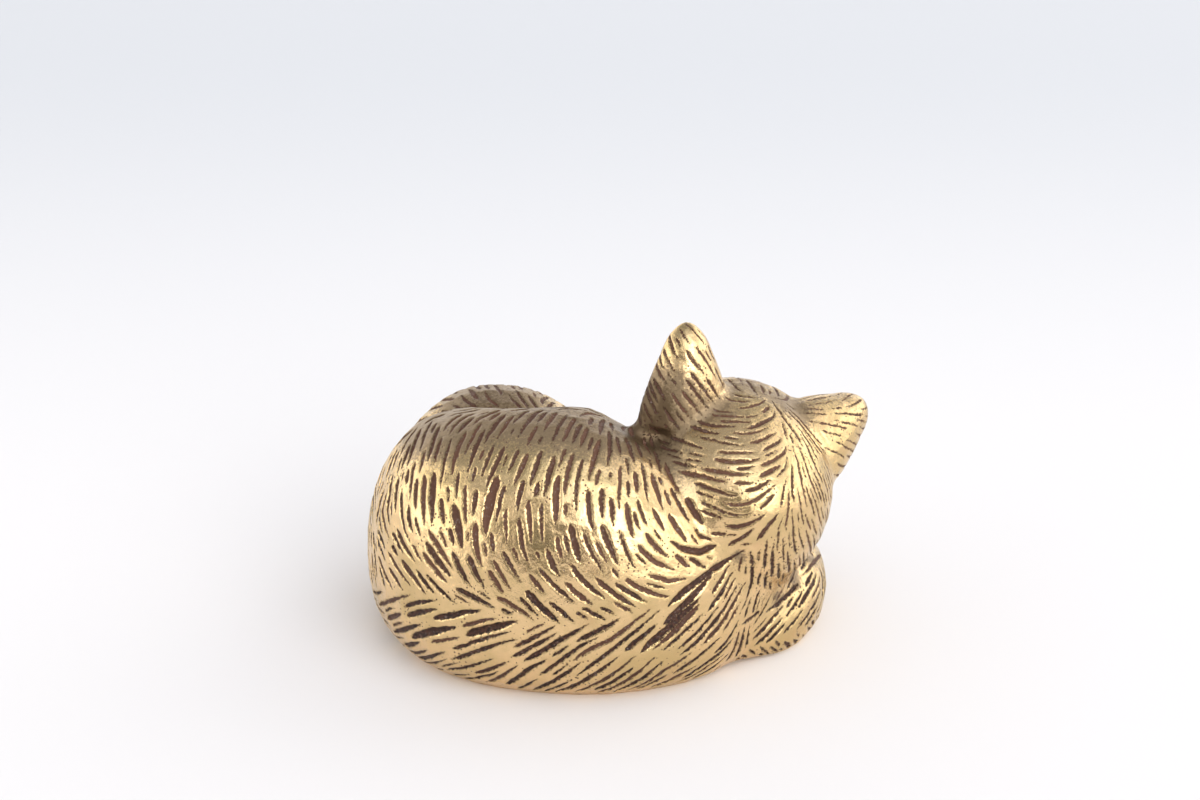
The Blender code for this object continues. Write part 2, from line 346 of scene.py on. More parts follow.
def faceLines(shape):
    # eyes, mouth and nostrils: line across and up, width, depth, how far forward it starts
    lines = []
    for side in (-1, 1):
        arc = []
        for step in range(13):
            s = step / 6 - 1
            lift = -shape["eyeSag"] * (1 - s * s) + 0.35 * s
            across = side * (shape["lidCentre"][0] + s * shape["eyeHalf"])
            arc.append((across, shape["lidCentre"][1] + lift))
        lines.append((arc, shape["eyeWidth"], shape["eyeDepth"], shape["eyeFrom"]))
        lip = [(0, -4.7), (side * 0.7, -5.45), (side * 1.6, -5.75), (side * 2.6, -5.5), (side * 3.3, -4.9)]
        lines.append((lip, shape["mouthWidth"], shape["mouthDepth"], shape["mouthFrom"]))
        wing = [(side * 1.35, -1.75), (side * 1.15, -2.6), (side * 0.35, -3.15)]
        lines.append((wing, shape["nostrilWidth"], shape["nostrilDepth"], shape["nostrilFrom"]))
    cleft = [(0, -3.1), (0, -4.7)]
    lines.append((cleft, shape["mouthWidth"], shape["mouthDepth"], shape["nostrilFrom"]))
    return lines


def sculptFace(points, quads, owner, shape):
    normals, _ = pointNormals(points, quads)
    local = intoHead(points)
    facing = normals @ headTurn
    front = (owner == nodeNames.index("head")) & (local[:, 1] > 2.5) & (facing[:, 1] > 0.0)
    flat = local[:, [0, 2]]
    rise = np.zeros(len(points))

    def mound(centre, size, height, nearest):
        for side in (-1, 1) if centre[0] else (1,):
            d = ((flat[:, 0] - side * centre[0]) / size[0]) ** 2 + ((flat[:, 1] - centre[1]) / size[1]) ** 2
            rise[:] += np.where(front & (local[:, 1] > nearest), height * np.exp(-d * 1.4), 0)

    for part in ("lid", "pad", "nose"):
        mound(*(shape[part + key] for key in ("Centre", "Size", "Rise", "From")))
    for line, width, depth, nearest in faceLines(shape):
        d = polylineDistance(flat, line)
        rise -= np.where(front & (local[:, 1] > nearest), depth * np.exp(-((d / width) ** 2)), 0)
    return points + normals * rise[:, None]


def faceMarks(points, owner, shape):
    # distance in mm to the edge of the nearest line of the face
    local = intoHead(points)
    front = (owner == nodeNames.index("head")) & (local[:, 1] > 2.5)
    marks = np.full(len(points), 9.0)
    for line, width, depth, nearest in faceLines(shape):
        d = polylineDistance(local[:, [0, 2]], line) - width * 0.9
        marks = np.where(front & (local[:, 1] > nearest), np.minimum(marks, d), marks)
    return marks


skinPoints = sculptFace(skinPoints, skinQuads, skinOwner, faceShape)
print("face sculpted")


# read off the photograph: column, row, direction in degrees (0 to the right, 90 up)
seenCombing = [
    # upper body
    (430, 430, 243), (500, 440, 245), (560, 440, 245), (395, 470, 255), (405, 485, 263),
    (375, 500, 270), (430, 505, 270), (455, 525, 283), (472, 530, 269), (490, 510, 258),
    (510, 480, 243), (530, 480, 255), (520, 520, 275), (555, 515, 268), (565, 530, 275),
    (577, 540, 285), (600, 545, 295), (595, 560, 300), (385, 540, 292), (395, 560, 300),
    (430, 550, 305), (470, 570, 295), (500, 575, 300), (430, 580, 310), (450, 590, 320),
    (530, 590, 310), (470, 600, 335), (500, 610, 335), (560, 600, 320), (600, 605, 335),
    (580, 450, 250), (600, 470, 255), (610, 490, 265), (620, 520, 275), (620, 545, 290),
    (610, 570, 305), (600, 590, 320), (630, 600, 330), (640, 480, 275), (660, 500, 285),
    (650, 530, 300), (660, 550, 320), (660, 575, 345), (670, 590, 352), (690, 500, 300),
    (690, 530, 300), (685, 545, 310), (700, 555, 330), (655, 455, 295),
    # below the parting
    (385, 608, 20), (410, 625, 20), (420, 650, 18), (440, 612, 10), (450, 630, 10),
    (480, 655, 20), (500, 640, 15), (540, 655, 28), (600, 640, 25), (520, 680, 32),
    (560, 670, 38), (600, 665, 38), (620, 650, 40), (640, 670, 38), (660, 620, 42),
    (680, 660, 35), (700, 600, 48), (720, 600, 55), (735, 590, 62), (720, 650, 42),
    (745, 635, 80),
    # nape and left of the head
    (665, 440, 340), (690, 440, 340), (700, 420, 330), (700, 460, 350), (720, 440, 345),
    (730, 427, 0), (740, 450, 0), (720, 470, 350), (740, 480, 0), (760, 465, 20),
    (770, 430, 20), (775, 450, 25), (770, 480, 30), (775, 500, 45), (715, 490, 340),
    (720, 510, 335), (740, 505, 0), (760, 510, 40), (730, 525, 350), (750, 530, 20),
    (770, 520, 50), (715, 545, 355), (740, 545, 5),
    # left ear
    (680, 355, 298), (665, 375, 305), (690, 380, 310), (700, 365, 310), (670, 395, 300),
    (690, 400, 310), (712, 395, 305),
    # right of the head
    (790, 440, 112), (795, 460, 105), (800, 430, 130), (800, 445, 115), (785, 500, 92),
    (800, 500, 100), (815, 500, 108), (820, 480, 110), (790, 530, 95), (810, 520, 110),
    (820, 530, 108), (770, 540, 88), (780, 560, 90), (790, 570, 95), (800, 550, 110),
    (760, 560, 88), (745, 570, 82), (755, 600, 75),
    # right ear
    (815, 430, 150), (830, 430, 165), (820, 420, 175), (840, 430, 170), (830, 405, 190),
    (850, 395, 210), (840, 440, 150), (825, 450, 130),
    # tip of the tail
    (825, 575, 68), (810, 585, 62), (800, 605, 58), (790, 600, 56), (780, 612, 50), (780, 630, 48),
    (760, 628, 45),
    (830, 605, 118), (815, 625, 128), (795, 640, 135), (770, 652, 140), (745, 659, 145),
]

# the line where the fur of the body parts, down to the end of the body: columns, rows
partingLine = (
    (360, 375, 422, 472, 515, 557, 600, 632, 657, 682, 710, 750, 756),
    (584, 587, 597, 607, 620, 624, 623, 614, 606, 590, 572, 550, 700),
)
bodyEndColumn = 756
# lower than this, in mm, the fur of the tail turns under, and on the far side that of the body
tailRimHeight, farPartingHeight = 2.2, 6
# kinds of fur besides the nodes' own
lowerKind, rimKind = 100, 101


def furKinds(centres, normals, owner):
    column, row = pictureOf(centres)
    seen = normals @ np.array(cameraBack) > 0
    below = seen & (row > np.interp(column, *partingLine)) & (column < bodyEndColumn)
    below |= ~seen & (centres[:, 2] < farPartingHeight)
    kinds = np.where((owner == nodeNames.index("trunk")) & below, lowerKind, owner)
    low = (owner == nodeNames.index("tail")) & (centres[:, 2] < tailRimHeight)
    return np.where(low, rimKind, kinds)


# sides that the photograph doesn't show: place in mm and direction
hiddenCombing = [
    # left end of the body
    (-25.0, -6, 17, 0.0, 0.1, -1.0), (-25.3, -6, 9, 0.1, -0.2, -1.0), (-24.5, -8, 3, 0.4, -1.0, 0.15),
    (-24.0, 0, 17, 0.0, 0.25, -1.0), (-24.5, -1, 9, 0.0, 0.15, -1.0), (-24, -1, 3, 0.3, -0.6, -0.6),
    # back of the body, over the ridge
    (-10, -2, 24.5, -0.8, 0.1, 0.0), (-2, -1, 24.5, -0.9, 0.2, 0.0), (5, -2, 22, -0.9, 0.3, 0.3),
    (-16, -3, 22.5, -0.8, 0.2, -0.4), (-3, 3, 23, -0.5, 0.8, -0.5), (4, 3, 19, -0.3, 0.8, -0.8),
    (-12, 2, 23, -0.7, 0.6, -0.2), (-20, 0, 20, -0.5, 0.4, -0.9),
    # haunch
    (-11, 14, 14, 0.25, 0.1, -1.0), (-19, 12, 14, 0.1, 0.0, -1.0), (-3, 13, 14, 0.45, 0.0, -1.0),
    (-12, 10, 22, 0.0, 0.9, -0.5), (-19, 7, 20, -0.3, 0.6, -0.8), (-4, 8, 21, 0.3, 0.7, -0.5),
    (-23.5, 6, 10, 0.0, 0.1, -1.0), (0, 8, 12, 0.5, 0.2, -1.0), (-12, 4, 23, -0.2, 0.9, 0.1),
    (-14, 14, 8, 0.35, 0.1, -1.0), (-4, 13, 8, 0.7, 0.1, -0.8),
]


# the ring in which the tail lies: half length and width, middle, and how its lie runs round it
tailRing = dict(long=22.5, wide=18.5, middle=(-1.5, 1.5), runLong=23, runWide=18)
# across the tail: share of the ring, height, slant out of the ring
tailRows = ((0.86, 7.0, -0.25), (0.97, 5.5, 0.0), (1.0, 3.0, 0.2))
# the rim underneath: half length and width, middle along, height, how steeply it turns down
tailUnder = dict(long=25, wide=20, middle=-1.0, height=1.0, down=-22)


def tailCombing():
    # along the tail on its top and outside, and downward where it turns under
    rows = []
    ring, under = tailRing, tailUnder
    for degrees in range(22, 175, 17):
        c, s = math.cos(math.radians(degrees)), math.sin(math.radians(degrees))
        for reach, height, slant in tailRows:
            x = ring["long"] * reach * c + ring["middle"][0]
            y = ring["middle"][1] + ring["wide"] * reach * s
            flow = (s * ring["runLong"] + c * slant * 12, -c * ring["runWide"] + s * slant * 12, -slant * 6)
            rows.append((x, y, height, *flow))
    for degrees in range(-5, 175, 15):
        c, s = math.cos(math.radians(degrees)), math.sin(math.radians(degrees))
        x, y = under["long"] * c + under["middle"], ring["middle"][1] + under["wide"] * s
        flow = (s * ring["runLong"], -c * ring["runWide"], under["down"])
        rows.append((x, y, under["height"], *flow))
    return rows


def faceCombing():
    # away from the nose all over the front of the head, then back over the crown and the cheeks
    rows = []
    for across in (-8, -5, -2.5, 0, 2.5, 5, 8):
        for up in (-6, -3, 0, 3, 6, 8.5):
            for depth in (2.0, 6.0, 10.0):
                # only what lies near the rounded front
                if across * across + up * up > (depth - 16.5) ** 2 * 0.75 and depth > 5:
                    continue
                local = np.array((across, depth, up))
                flow = np.array((across * 1.0, -4.0 - abs(across) * 0.3, (up + 2.5) * 0.9))
                rows.append((*(headTurn @ local + headAt), *(headTurn @ flow)))
    return rows


# forelegs and hind foot, from the toes up
limbCombing = [
    (9.0, -2.0, 6.5, -0.7, -0.7, 0.0), (6.5, 2.5, 7.0, -0.6, -0.8, 0.0), (4.0, 6.5, 6.0, -0.6, -0.8, 0.1),
    (16.0, 3.0, 6.0, -0.9, -0.45, 0.0), (13.0, 6.0, 5.0, -0.9, -0.45, 0.0),
    (10.5, 9.5, 5.0, -0.9, -0.45, 0.0), (-5.0, 10.0, 5.0, -1.0, 0.05, 0.0),
    (2.0, 10.0, 5.0, -1.0, 0.05, 0.0),
]


# how the guides are weighed at a face: one of another kind of fur counts little, one that faces
# away counts little, and near ones are softened over this many square mm
combing = dict(otherKind=0.03, leastFacing=0.02, softness=0.9)


def combField(points, quads, owner):
    # the lie of the fur at every face, from the guides near it
    faceNormals = pointNormals(points, quads)[1]
    centres = points[quads].mean(axis=1)
    faceOwner = owner[quads[:, 0]]
    fur = furKinds(centres, faceNormals, faceOwner)
    tree = BVHTree.FromPolygons([Vector(p) for p in points], quads.tolist())
    eye = camera.location / mm
    guides = []
    for column, row, degrees in seenCombing:
        hit, normal, index, _ = seenAt(tree, column, row)
        if hit is None:
            continue
        # the drawn direction, laid on the surface along the line of sight
        a = math.radians(degrees)
        wanted = cameraRight * math.cos(a) + cameraUp * math.sin(a)
        ray = (hit - eye).normalized()
        flow = wanted - ray * (wanted.dot(normal) / ray.dot(normal))
        if ray.dot(normal) > -0.12:
            flow = wanted - normal * wanted.dot(normal)
        guides.append((hit, normal, flow.normalized(), fur[index]))
    for x, y, z, dx, dy, dz in hiddenCombing + tailCombing() + faceCombing() + limbCombing:
        hit, normal, index, _ = tree.find_nearest(Vector((x, y, z)))
        flow = Vector((dx, dy, dz))
        flow -= normal * flow.dot(normal)
        if flow.length > 0.15:
            guides.append((hit, normal, flow.normalized(), fur[index]))
    places, ups, flows = (np.array([list(guide[k]) for guide in guides]) for k in range(3))
    groups = np.array([guide[3] for guide in guides])
    field = np.zeros_like(centres)
    placeLengths = (places**2).sum(axis=1)
    for start in range(0, len(centres), 20000):
        part = slice(start, start + 20000)
        gap = (centres[part] ** 2).sum(axis=1)[:, None] + placeLengths - 2 * centres[part] @ places.T
        same = np.where(fur[part, None] == groups[None], 1.0, combing["otherKind"])
        facing = np.clip(faceNormals[part] @ ups.T, combing["leastFacing"], 1)
        near = np.maximum(gap, 0) + combing["softness"]
        field[part] = (same * facing * facing / (near * near)) @ flows
    field -= faceNormals * (field * faceNormals).sum(axis=1, keepdims=True)
    field /= np.maximum(np.linalg.norm(field, axis=1, keepdims=True), 1e-9)
    return field, tree, centres, faceNormals, faceOwner, fur


skinComb = combField(skinPoints, skinQuads, skinOwner)
furField, skinTree, faceCentres, faceNormals, faceOwner, furKind = skinComb
print("combing laid on", len(faceCentres), "faces")

# places in the picture painted darker than the rest, mostly painted shade and dim reflection with some dirt:
# column, row, radius in mm, amount
shadeAndGrimeSpots = (
    # top of the back, a painted dim reflection with dust
    (395, 410, 5.0, 0.8), (425, 428, 4.5, 0.8), (455, 432, 4.5, 0.7), (440, 396, 6.0, 0.9),
    (490, 398, 6.0, 1.0), (540, 408, 6.0, 0.9), (590, 425, 5.0, 0.7), (620, 432, 3.0, 0.5),
    # neck and root of the left ear, painted shade in the recess, near black at the root
    (645, 432, 3.0, 0.8), (665, 447, 2.4, 0.45), (690, 462, 2.0, 0.3), (646, 412, 2.4, 2.4),
    (640, 430, 2.0, 1.6), (655, 434, 1.4, 1.2), (648, 421, 2.0, 2.0), (652, 404, 1.8, 1.8),
    (630, 424, 2.2, 1.3), (655, 390, 2.0, 0.7),
    # crown, roots of the ears, creases of the tail: painted shade in the creases
    (750, 384, 2.4, 0.5), (785, 402, 2.0, 0.7), (800, 415, 1.6, 0.5), (812, 560, 1.2, 0.8),
    (795, 580, 1.3, 0.9), (778, 600, 1.2, 0.7), (740, 556, 1.0, 0.7), (715, 568, 0.9, 0.6),
    (860, 420, 2.5, 0.4), (668, 380, 3.0, 0.35), (684, 388, 2.2, 0.5), (702, 405, 1.8, 0.5),
    (722, 414, 1.4, 0.35),
)
# rounds of smoothing that tell the hollows, how deep a full one is, darkening on what faces up (dust, and
# painted shade of the dim overhead reflection), rounds that even it, and how much less a darkened place takes
# from the painted-shade spots above
grimeAndShadeShape = dict(
    rounds=90, share=0.6, hollow=0.30, upFrom=0.62, upRange=0.38, upAmount=0.5, evenRounds=5, spotRoom=0.8,
)


def grimeAndShadeOf(points, quads, edges, counts, shape):
    # where patina stays in the hollows of the form, darker a little on what faces up (dust with painted
    # shade), and painted shade with some dirt at the spots
    rounded = relax(points.copy(), edges, counts, shape["rounds"], np.full(len(points), shape["share"]))
    normals = pointNormals(rounded, quads)[0]
    hollow = np.clip(((rounded - points) * normals).sum(axis=1) / shape["hollow"], 0, 1)
    upward = np.clip((normals[:, 2] - shape["upFrom"]) / shape["upRange"], 0, 1) * shape["upAmount"]
    dirtAndShade = hollow + upward * (1 - hollow)
    # painted shade and dim reflection at the listed spots, with some dirt
    for column, row, radius, amount in shadeAndGrimeSpots:
        hit = seenAt(skinTree, column, row)[0]
        if hit is not None:
            gap = ((points - np.array(hit)) ** 2).sum(axis=1)
            room = 1 - np.clip(dirtAndShade, 0, 1) * shape["spotRoom"]
            dirtAndShade += room * amount * np.exp(-gap / radius**2)
    dirtAndShade = np.clip(dirtAndShade, 0, 2)[:, None]
    for _ in range(shape["evenRounds"]):
        dirtAndShade = (dirtAndShade + neighbourMean(dirtAndShade, edges, counts)) / 2
    return dirtAndShade[:, 0]


skinGrimeAndShade = grimeAndShadeOf(skinPoints, skinQuads, skinEdges, skinCounts, grimeAndShadeShape)


# lengths in mm: free room at the ends of a stroke, more for a wide one; step along it; how far the
# combing may turn in a step, as a cosine; how much of its direction it holds in a step; strokes
# that face more apart than sameSide don't mind each other; size of the cells that hold what is cut
strokeLayout = dict(
    seed=7, endGap=0.34, endGapPerWidth=0.12, gapSpread=(0.92, 1.12),
    step=0.2, leastTurn=0.55, hold=0.35, sameSide=0.3, cell=0.9,
)
# first the long strokes, then shorter ones in the room left, then ticks between them
passes = (
    dict(tries=40000, length=1.0, least=0.80, gap=1.0, side=0.72, width=1.0),
    dict(tries=50000, length=0.72, least=0.68, gap=0.90, side=0.76, width=0.88),
    dict(tries=60000, length=0.45, least=0.72, gap=0.80, side=0.84, width=0.66),
)
pawCoat = dict(gap=0.70, length=(1.6, 3.0), width=0.7)
coats = dict(
    trunk=dict(gap=0.92, length=(2.6, 5.6), width=0.92),
    head=dict(gap=0.78, length=(3.2, 6.0), width=0.76),
    left_ear=dict(gap=0.78, length=(2.2, 4.6), width=0.60),
    right_ear=dict(gap=0.74, length=(2.6, 5.6), width=0.38),
    left_haunch=dict(gap=0.90, length=(2.8, 5.4), width=0.92),
    left_hind_foot=pawCoat,
    left_foreleg=pawCoat,
    right_foreleg=pawCoat,
    tail=dict(gap=0.72, length=(3.2, 7.5), width=0.70),
)
# below the line where the fur parts the strokes are longer
lowerBody = dict(gap=0.88, length=(4.5, 11.0), width=0.98)
tailRim = dict(gap=0.66, length=(1.0, 2.2), width=0.8)
# long cuts that follow no combing, drawn in the picture: points, width
drawnCuts = (
    (((668, 606), (684, 592), (700, 580), (716, 568), (733, 557), (748, 548)), 1.25),
    (((750, 551), (753, 565), (752, 582), (747, 600), (738, 618)), 0.7),
    (((822, 553), (812, 565), (801, 577)), 0.75),
    (((799, 583), (789, 594), (778, 604), (764, 613)), 0.8),
    (((760, 611), (751, 619), (741, 625)), 0.8),
    (((700, 604), (686, 620), (670, 636), (650, 652)), 1.5),
    (((648, 575), (668, 581), (690, 578)), 0.9),
    (((716, 545), (700, 552), (683, 549), (668, 540)), 1.1),
    (((728, 546), (742, 538), (757, 527)), 0.8),
)
# on the side of the head and body that shows at the right of the picture they are fine
cheek = dict(gap=0.62, length=(3.0, 7.0), width=0.52, headColumn=778, bodyColumn=757)
# a few broad cuts on the flank: column, row, length in mm, width
broadCuts = (
    (432, 497, 5.0, 1.5), (457, 526, 4.2, 1.8), (489, 506, 6.0, 2.5), (476, 545, 4.0, 1.4),
    (437, 560, 4.2, 1.3), (556, 500, 4.6, 1.6), (575, 545, 3.6, 1.3), (520, 470, 3.4, 1.3),
    (610, 545, 4.0, 1.2), (543, 610, 5.0, 1.3), (500, 626, 8.0, 1.5), (430, 632, 7.0, 1.6),
    (455, 615, 6.0, 1.3), (560, 640, 9.0, 1.2), (690, 600, 7.0, 1.3), (672, 625, 8.0, 1.4),
    (655, 560, 4.5, 1.2), (700, 520, 5.0, 1.2),
)
# bare places, in mm: the base up to a height, what turns under, room beside the lines of the face,
# the nose, and the ears on the side that faces the given way
bareLimits = dict(
    base=0.35, under=1.5, underTurn=-0.75, besideLines=0.45, noseUp=-2.4, noseSize=(1.6, 1.1),
)
earHollows = dict(left_ear=(0.30, 0.92, 0.1), right_ear=(0.0, 0.95, -0.3))
earTurn = 0.15


def bareFaces(centres, normals, owner):
    # faces that take no strokes: the base, the eyes, nose and mouth, and the inside of the ears
    limits = bareLimits
    height = centres[:, 2]
    bare = (height < limits["base"]) | ((normals[:, 2] < limits["underTurn"]) & (height < limits["under"]))
    local = intoHead(centres)
    flat = local[:, [0, 2]]
    front = (local[:, 1] > 3) & ((normals @ headTurn)[:, 1] > 0)
    for line, width, depth, nearest in faceLines(faceShape):
        close = polylineDistance(flat, line) < width + limits["besideLines"]
        bare |= front & (local[:, 1] > nearest) & close
    across, up = flat[:, 0] / limits["noseSize"][0], (flat[:, 1] - limits["noseUp"]) / limits["noseSize"][1]
    bare |= front & (across**2 + up**2 < 1)
    for name, inward in earHollows.items():
        bare |= (owner == nodeNames.index(name)) & (normals @ np.array(inward) > earTurn)
    return bare


def fineFaces():
    # where the strokes of the cheek go
    column = pictureOf(faceCentres)[0]
    head, trunk = nodeNames.index("head"), nodeNames.index("trunk")
    fine = (column > cheek["headColumn"]) & (faceNormals @ np.array(cameraBack) > -0.2)
    fine &= np.isin(faceOwner, [head, trunk])
    return fine | ((faceOwner == trunk) & (furKind != lowerKind) & (column > cheek["bodyColumn"]))


def layStrokes(layout):
    rng = np.random.default_rng(layout["seed"])
    bare = bareFaces(faceCentres, faceNormals, faceOwner).tolist()
    field, flatNormals, centres = furField.tolist(), faceNormals.tolist(), faceCentres.tolist()
    owners, kinds = faceOwner.tolist(), furKind.tolist()
    cell, step, hold, sameSide = (layout[key] for key in ("cell", "step", "hold", "sameSide"))
    grid, strokes = {}, []
    special = {lowerKind: lowerBody, rimKind: tailRim}
    fine = fineFaces().tolist()

    def crowded(p, d, n, gap, endGap):
        # is another stroke nearer than the gap beside it, or than endGap ahead
        kx, ky, kz = int(p[0] // cell), int(p[1] // cell), int(p[2] // cell)
        px, py, pz = p
        dx, dy, dz = d
        nx, ny, nz = n
        for ix in (kx - 1, kx, kx + 1):
            for iy in (ky - 1, ky, ky + 1):
                for iz in (kz - 1, kz, kz + 1):
                    for qx, qy, qz, mx, my, mz in grid.get((ix, iy, iz), ()):
                        x, y, z = qx - px, qy - py, qz - pz
                        along = x * dx + y * dy + z * dz
                        across = x * x + y * y + z * z - along * along
                        if across / (gap * gap) + along * along / (endGap * endGap) < 1:
                            if nx * mx + ny * my + nz * mz > sameSide:
                                return True
        return False

    def trace(face, length, clear):
        # follows the combing both ways from a face, while the way is clear
        halves = []
        for sign in (1, -1):
            p, d = Vector(centres[face]), Vector(field[face]) * sign
            walked, half = 0.0, []
            while walked < length / 2:
                hit, normal, index, _ = skinTree.find_nearest(p + d * step)
                if bare[index] or kinds[index] != kinds[face] or (hit - p).length < step * 0.4:
                    break
                turned = Vector(field[index]) * sign
                if turned.dot(d) < layout["leastTurn"] or (clear and crowded(hit, turned, normal, *clear)):
                    break
                d = (d * hold + turned * (1 - hold)).normalized()
                p = hit
                walked += step
                half.append((*hit, *normal))
            halves.append(half)
        return halves[1][::-1] + [(*centres[face], *flatNormals[face])] + halves[0]

    def keep(line, width):
        for row in line:
            grid.setdefault((int(row[0] // cell), int(row[1] // cell), int(row[2] // cell)), []).append(row)
        strokes.append(([row[:3] for row in line], width))

    # the drawn and the broad cuts come first, and the others keep clear of them
    for line, width in drawnCuts:
        rows = []
        for a, b in zip(line[:-1], line[1:]):
            for k in range(8):
                spot = Vector(a).lerp(Vector(b), k / 8)
                hit, normal, _, _ = seenAt(skinTree, *spot)
                if hit is not None:
                    rows.append((*hit, *normal))
        keep(rows, width)
    for column, row, length, width in broadCuts:
        keep(trace(seenAt(skinTree, column, row)[2], length, None), width)
    for part in passes:
        for face in rng.integers(0, len(centres), part["tries"]).tolist():
            if bare[face]:
                continue
            coat = cheek if fine[face] else special.get(kinds[face]) or coats[nodeNames[owners[face]]]
            gap = coat["gap"] * part["gap"] * rng.uniform(*layout["gapSpread"])
            length = rng.uniform(*coat["length"]) * part["length"]
            endGap = layout["endGap"] + coat["width"] * layout["endGapPerWidth"]
            if crowded(centres[face], field[face], flatNormals[face], gap, endGap):
                continue
            line = trace(face, length, (gap * part["side"], endGap))
            if (len(line) - 1) * step >= length * part["least"]:
                keep(line, coat["width"] * part["width"])
        print("  pass done,", len(strokes), "strokes")
    return strokes


furStrokes = layStrokes(strokeLayout)
print("strokes:", len(furStrokes))


def strokesObject(strokes):
    # the strokes as chains of edges, each with its number and width
    points, edges, number, thick = [], [], [], []
    for index, (line, width) in enumerate(strokes):
        start = len(points)
        points += [(p[0] * mm, p[1] * mm, p[2] * mm) for p in line]
        edges += [(start + k, start + k + 1) for k in range(len(line) - 1)]
        number += [index] * len(line)
        thick += [width] * len(line)
    mesh = bpy.data.meshes.new("strokes")
    mesh.from_pydata(points, edges, [])
    mesh.attributes.new("stroke", "INT", "POINT").data.foreach_set("value", number)
    mesh.attributes.new("thick", "FLOAT", "POINT").data.foreach_set("value", thick)
    return addObject("strokes", mesh)


brassLook = dict(
    bright=(0.81, 0.57, 0.30), olive=(0.62, 0.45, 0.215), warm=(0.72, 0.42, 0.24),
    filmAndShade=(0.21, 0.15, 0.092), crustAndShade=(0.045, 0.024, 0.016),
    groove=(0.022, 0.012, 0.009), grooveRed=(0.085, 0.036, 0.022), dust=(0.30, 0.23, 0.19),
    dry=(0.14, 0.066, 0.040), dryFrom=8.0, dryTo=19.0,
    roughness=0.18, grooveRoughness=0.62,
    # what lies low is a little darker, painted shade near the floor, and more pitted
    pits=0.42, lowPits=0.46, lowPaintedShade=0.95,
)


def join(tree, value, socket):
    # another node's output, a number or a colour into a socket
    if isinstance(value, bpy.types.NodeSocket):
        tree.links.new(value, socket)
    elif value is not None:
        socket.default_value = (*value, 1) if socket.type == "RGBA" else value


def addNode(tree, kind, inputs=None, **settings):
    made = tree.nodes.new(kind)
    for key, value in settings.items():
        setattr(made, key, value)
    for name, value in (inputs or {}).items():
        join(tree, value, made.inputs[name])
    return made.outputs


def newGroup(name, inputs, outputs):
    group = bpy.data.node_groups.new(name, "ShaderNodeTree")
    for label, value in inputs.items():
        kind = "NodeSocketVector" if value is None else "NodeSocketFloat"
        socket = group.interface.new_socket(label, in_out="INPUT", socket_type=kind)
        if value is not None:
            socket.default_value = value
    for label in outputs:
        group.interface.new_socket(label, in_out="OUTPUT", socket_type="NodeSocketFloat")
    return group, group.nodes.new("NodeGroupInput").outputs, group.nodes.new("NodeGroupOutput").inputs


def maths(tree, operation, a, b=None, clamp=False):
    return addNode(tree, "ShaderNodeMath", {0: a, 1: b}, operation=operation, use_clamp=clamp)[0]


def noiseOf(tree, vector, scale, detail=4.0, rough=0.6):
    inputs = {"Vector": vector, "Scale": scale, "Detail": detail, "Roughness": rough}
    return addNode(tree, "ShaderNodeTexNoise", inputs)["Fac"]


def spread(tree, value, low, high, toLow=0.0, toHigh=1.0):
    # a soft step from toLow to toHigh while the value goes from low to high
    inputs = {"Value": value, "From Min": low, "From Max": high, "To Min": toLow, "To Max": toHigh}
    return addNode(tree, "ShaderNodeMapRange", inputs, interpolation_type="SMOOTHSTEP")["Result"]


def blendColour(tree, share, a, b):
    return addNode(tree, "ShaderNodeMix", {0: share, 6: a, 7: b}, data_type="RGBA")[2]


def grooveGroup():
    # how much of a place is dark patina, from its distance to the edge of a stroke
    inputs = {"Distance": 1.0, "Position": None, "Spread": 0.05, "Raggedness": 0.66, "Grain": 3.0}
    group, given, out = newGroup("groove patina", inputs, ("Mask", "Halo"))
    ragged = maths(group, "SUBTRACT", noiseOf(group, given["Position"], given["Grain"], 5, 0.8), 0.5)
    shifted = maths(group, "ADD", given["Distance"], maths(group, "MULTIPLY", ragged, given["Raggedness"]))
    low = maths(group, "MULTIPLY", given["Spread"], -0.8)
    clean = spread(group, shifted, low, given["Spread"])
    group.links.new(maths(group, "SUBTRACT", 1.0, clean), out["Mask"])
    halo = spread(group, maths(group, "ADD", shifted, ragged), 0.0, 0.34)
    group.links.new(maths(group, "SUBTRACT", 1.0, halo), out["Halo"])
    return group


def pitGroup():
    # scattered small pits left by the casting sand
    group, given, out = newGroup("casting pits", {"Position": None, "Size": 2.3, "Amount": 0.3}, ("Mask",))
    cells = addNode(group, "ShaderNodeTexVoronoi", {"Vector": given["Position"], "Scale": given["Size"]})
    wide = noiseOf(group, given["Position"], 0.22, 3, 0.6)
    more = maths(group, "MULTIPLY", given["Amount"], 3.0)
    limit = maths(group, "MULTIPLY", spread(group, wide, 0.35, 0.7, 0.06, 0.26), more)
    inner = maths(group, "MULTIPLY", limit, 0.5)
    metal = spread(group, cells["Distance"], inner, limit)
    group.links.new(maths(group, "SUBTRACT", 1.0, metal), out["Mask"])
    return group


groovePatina = grooveGroup()
castingPits = pitGroup()


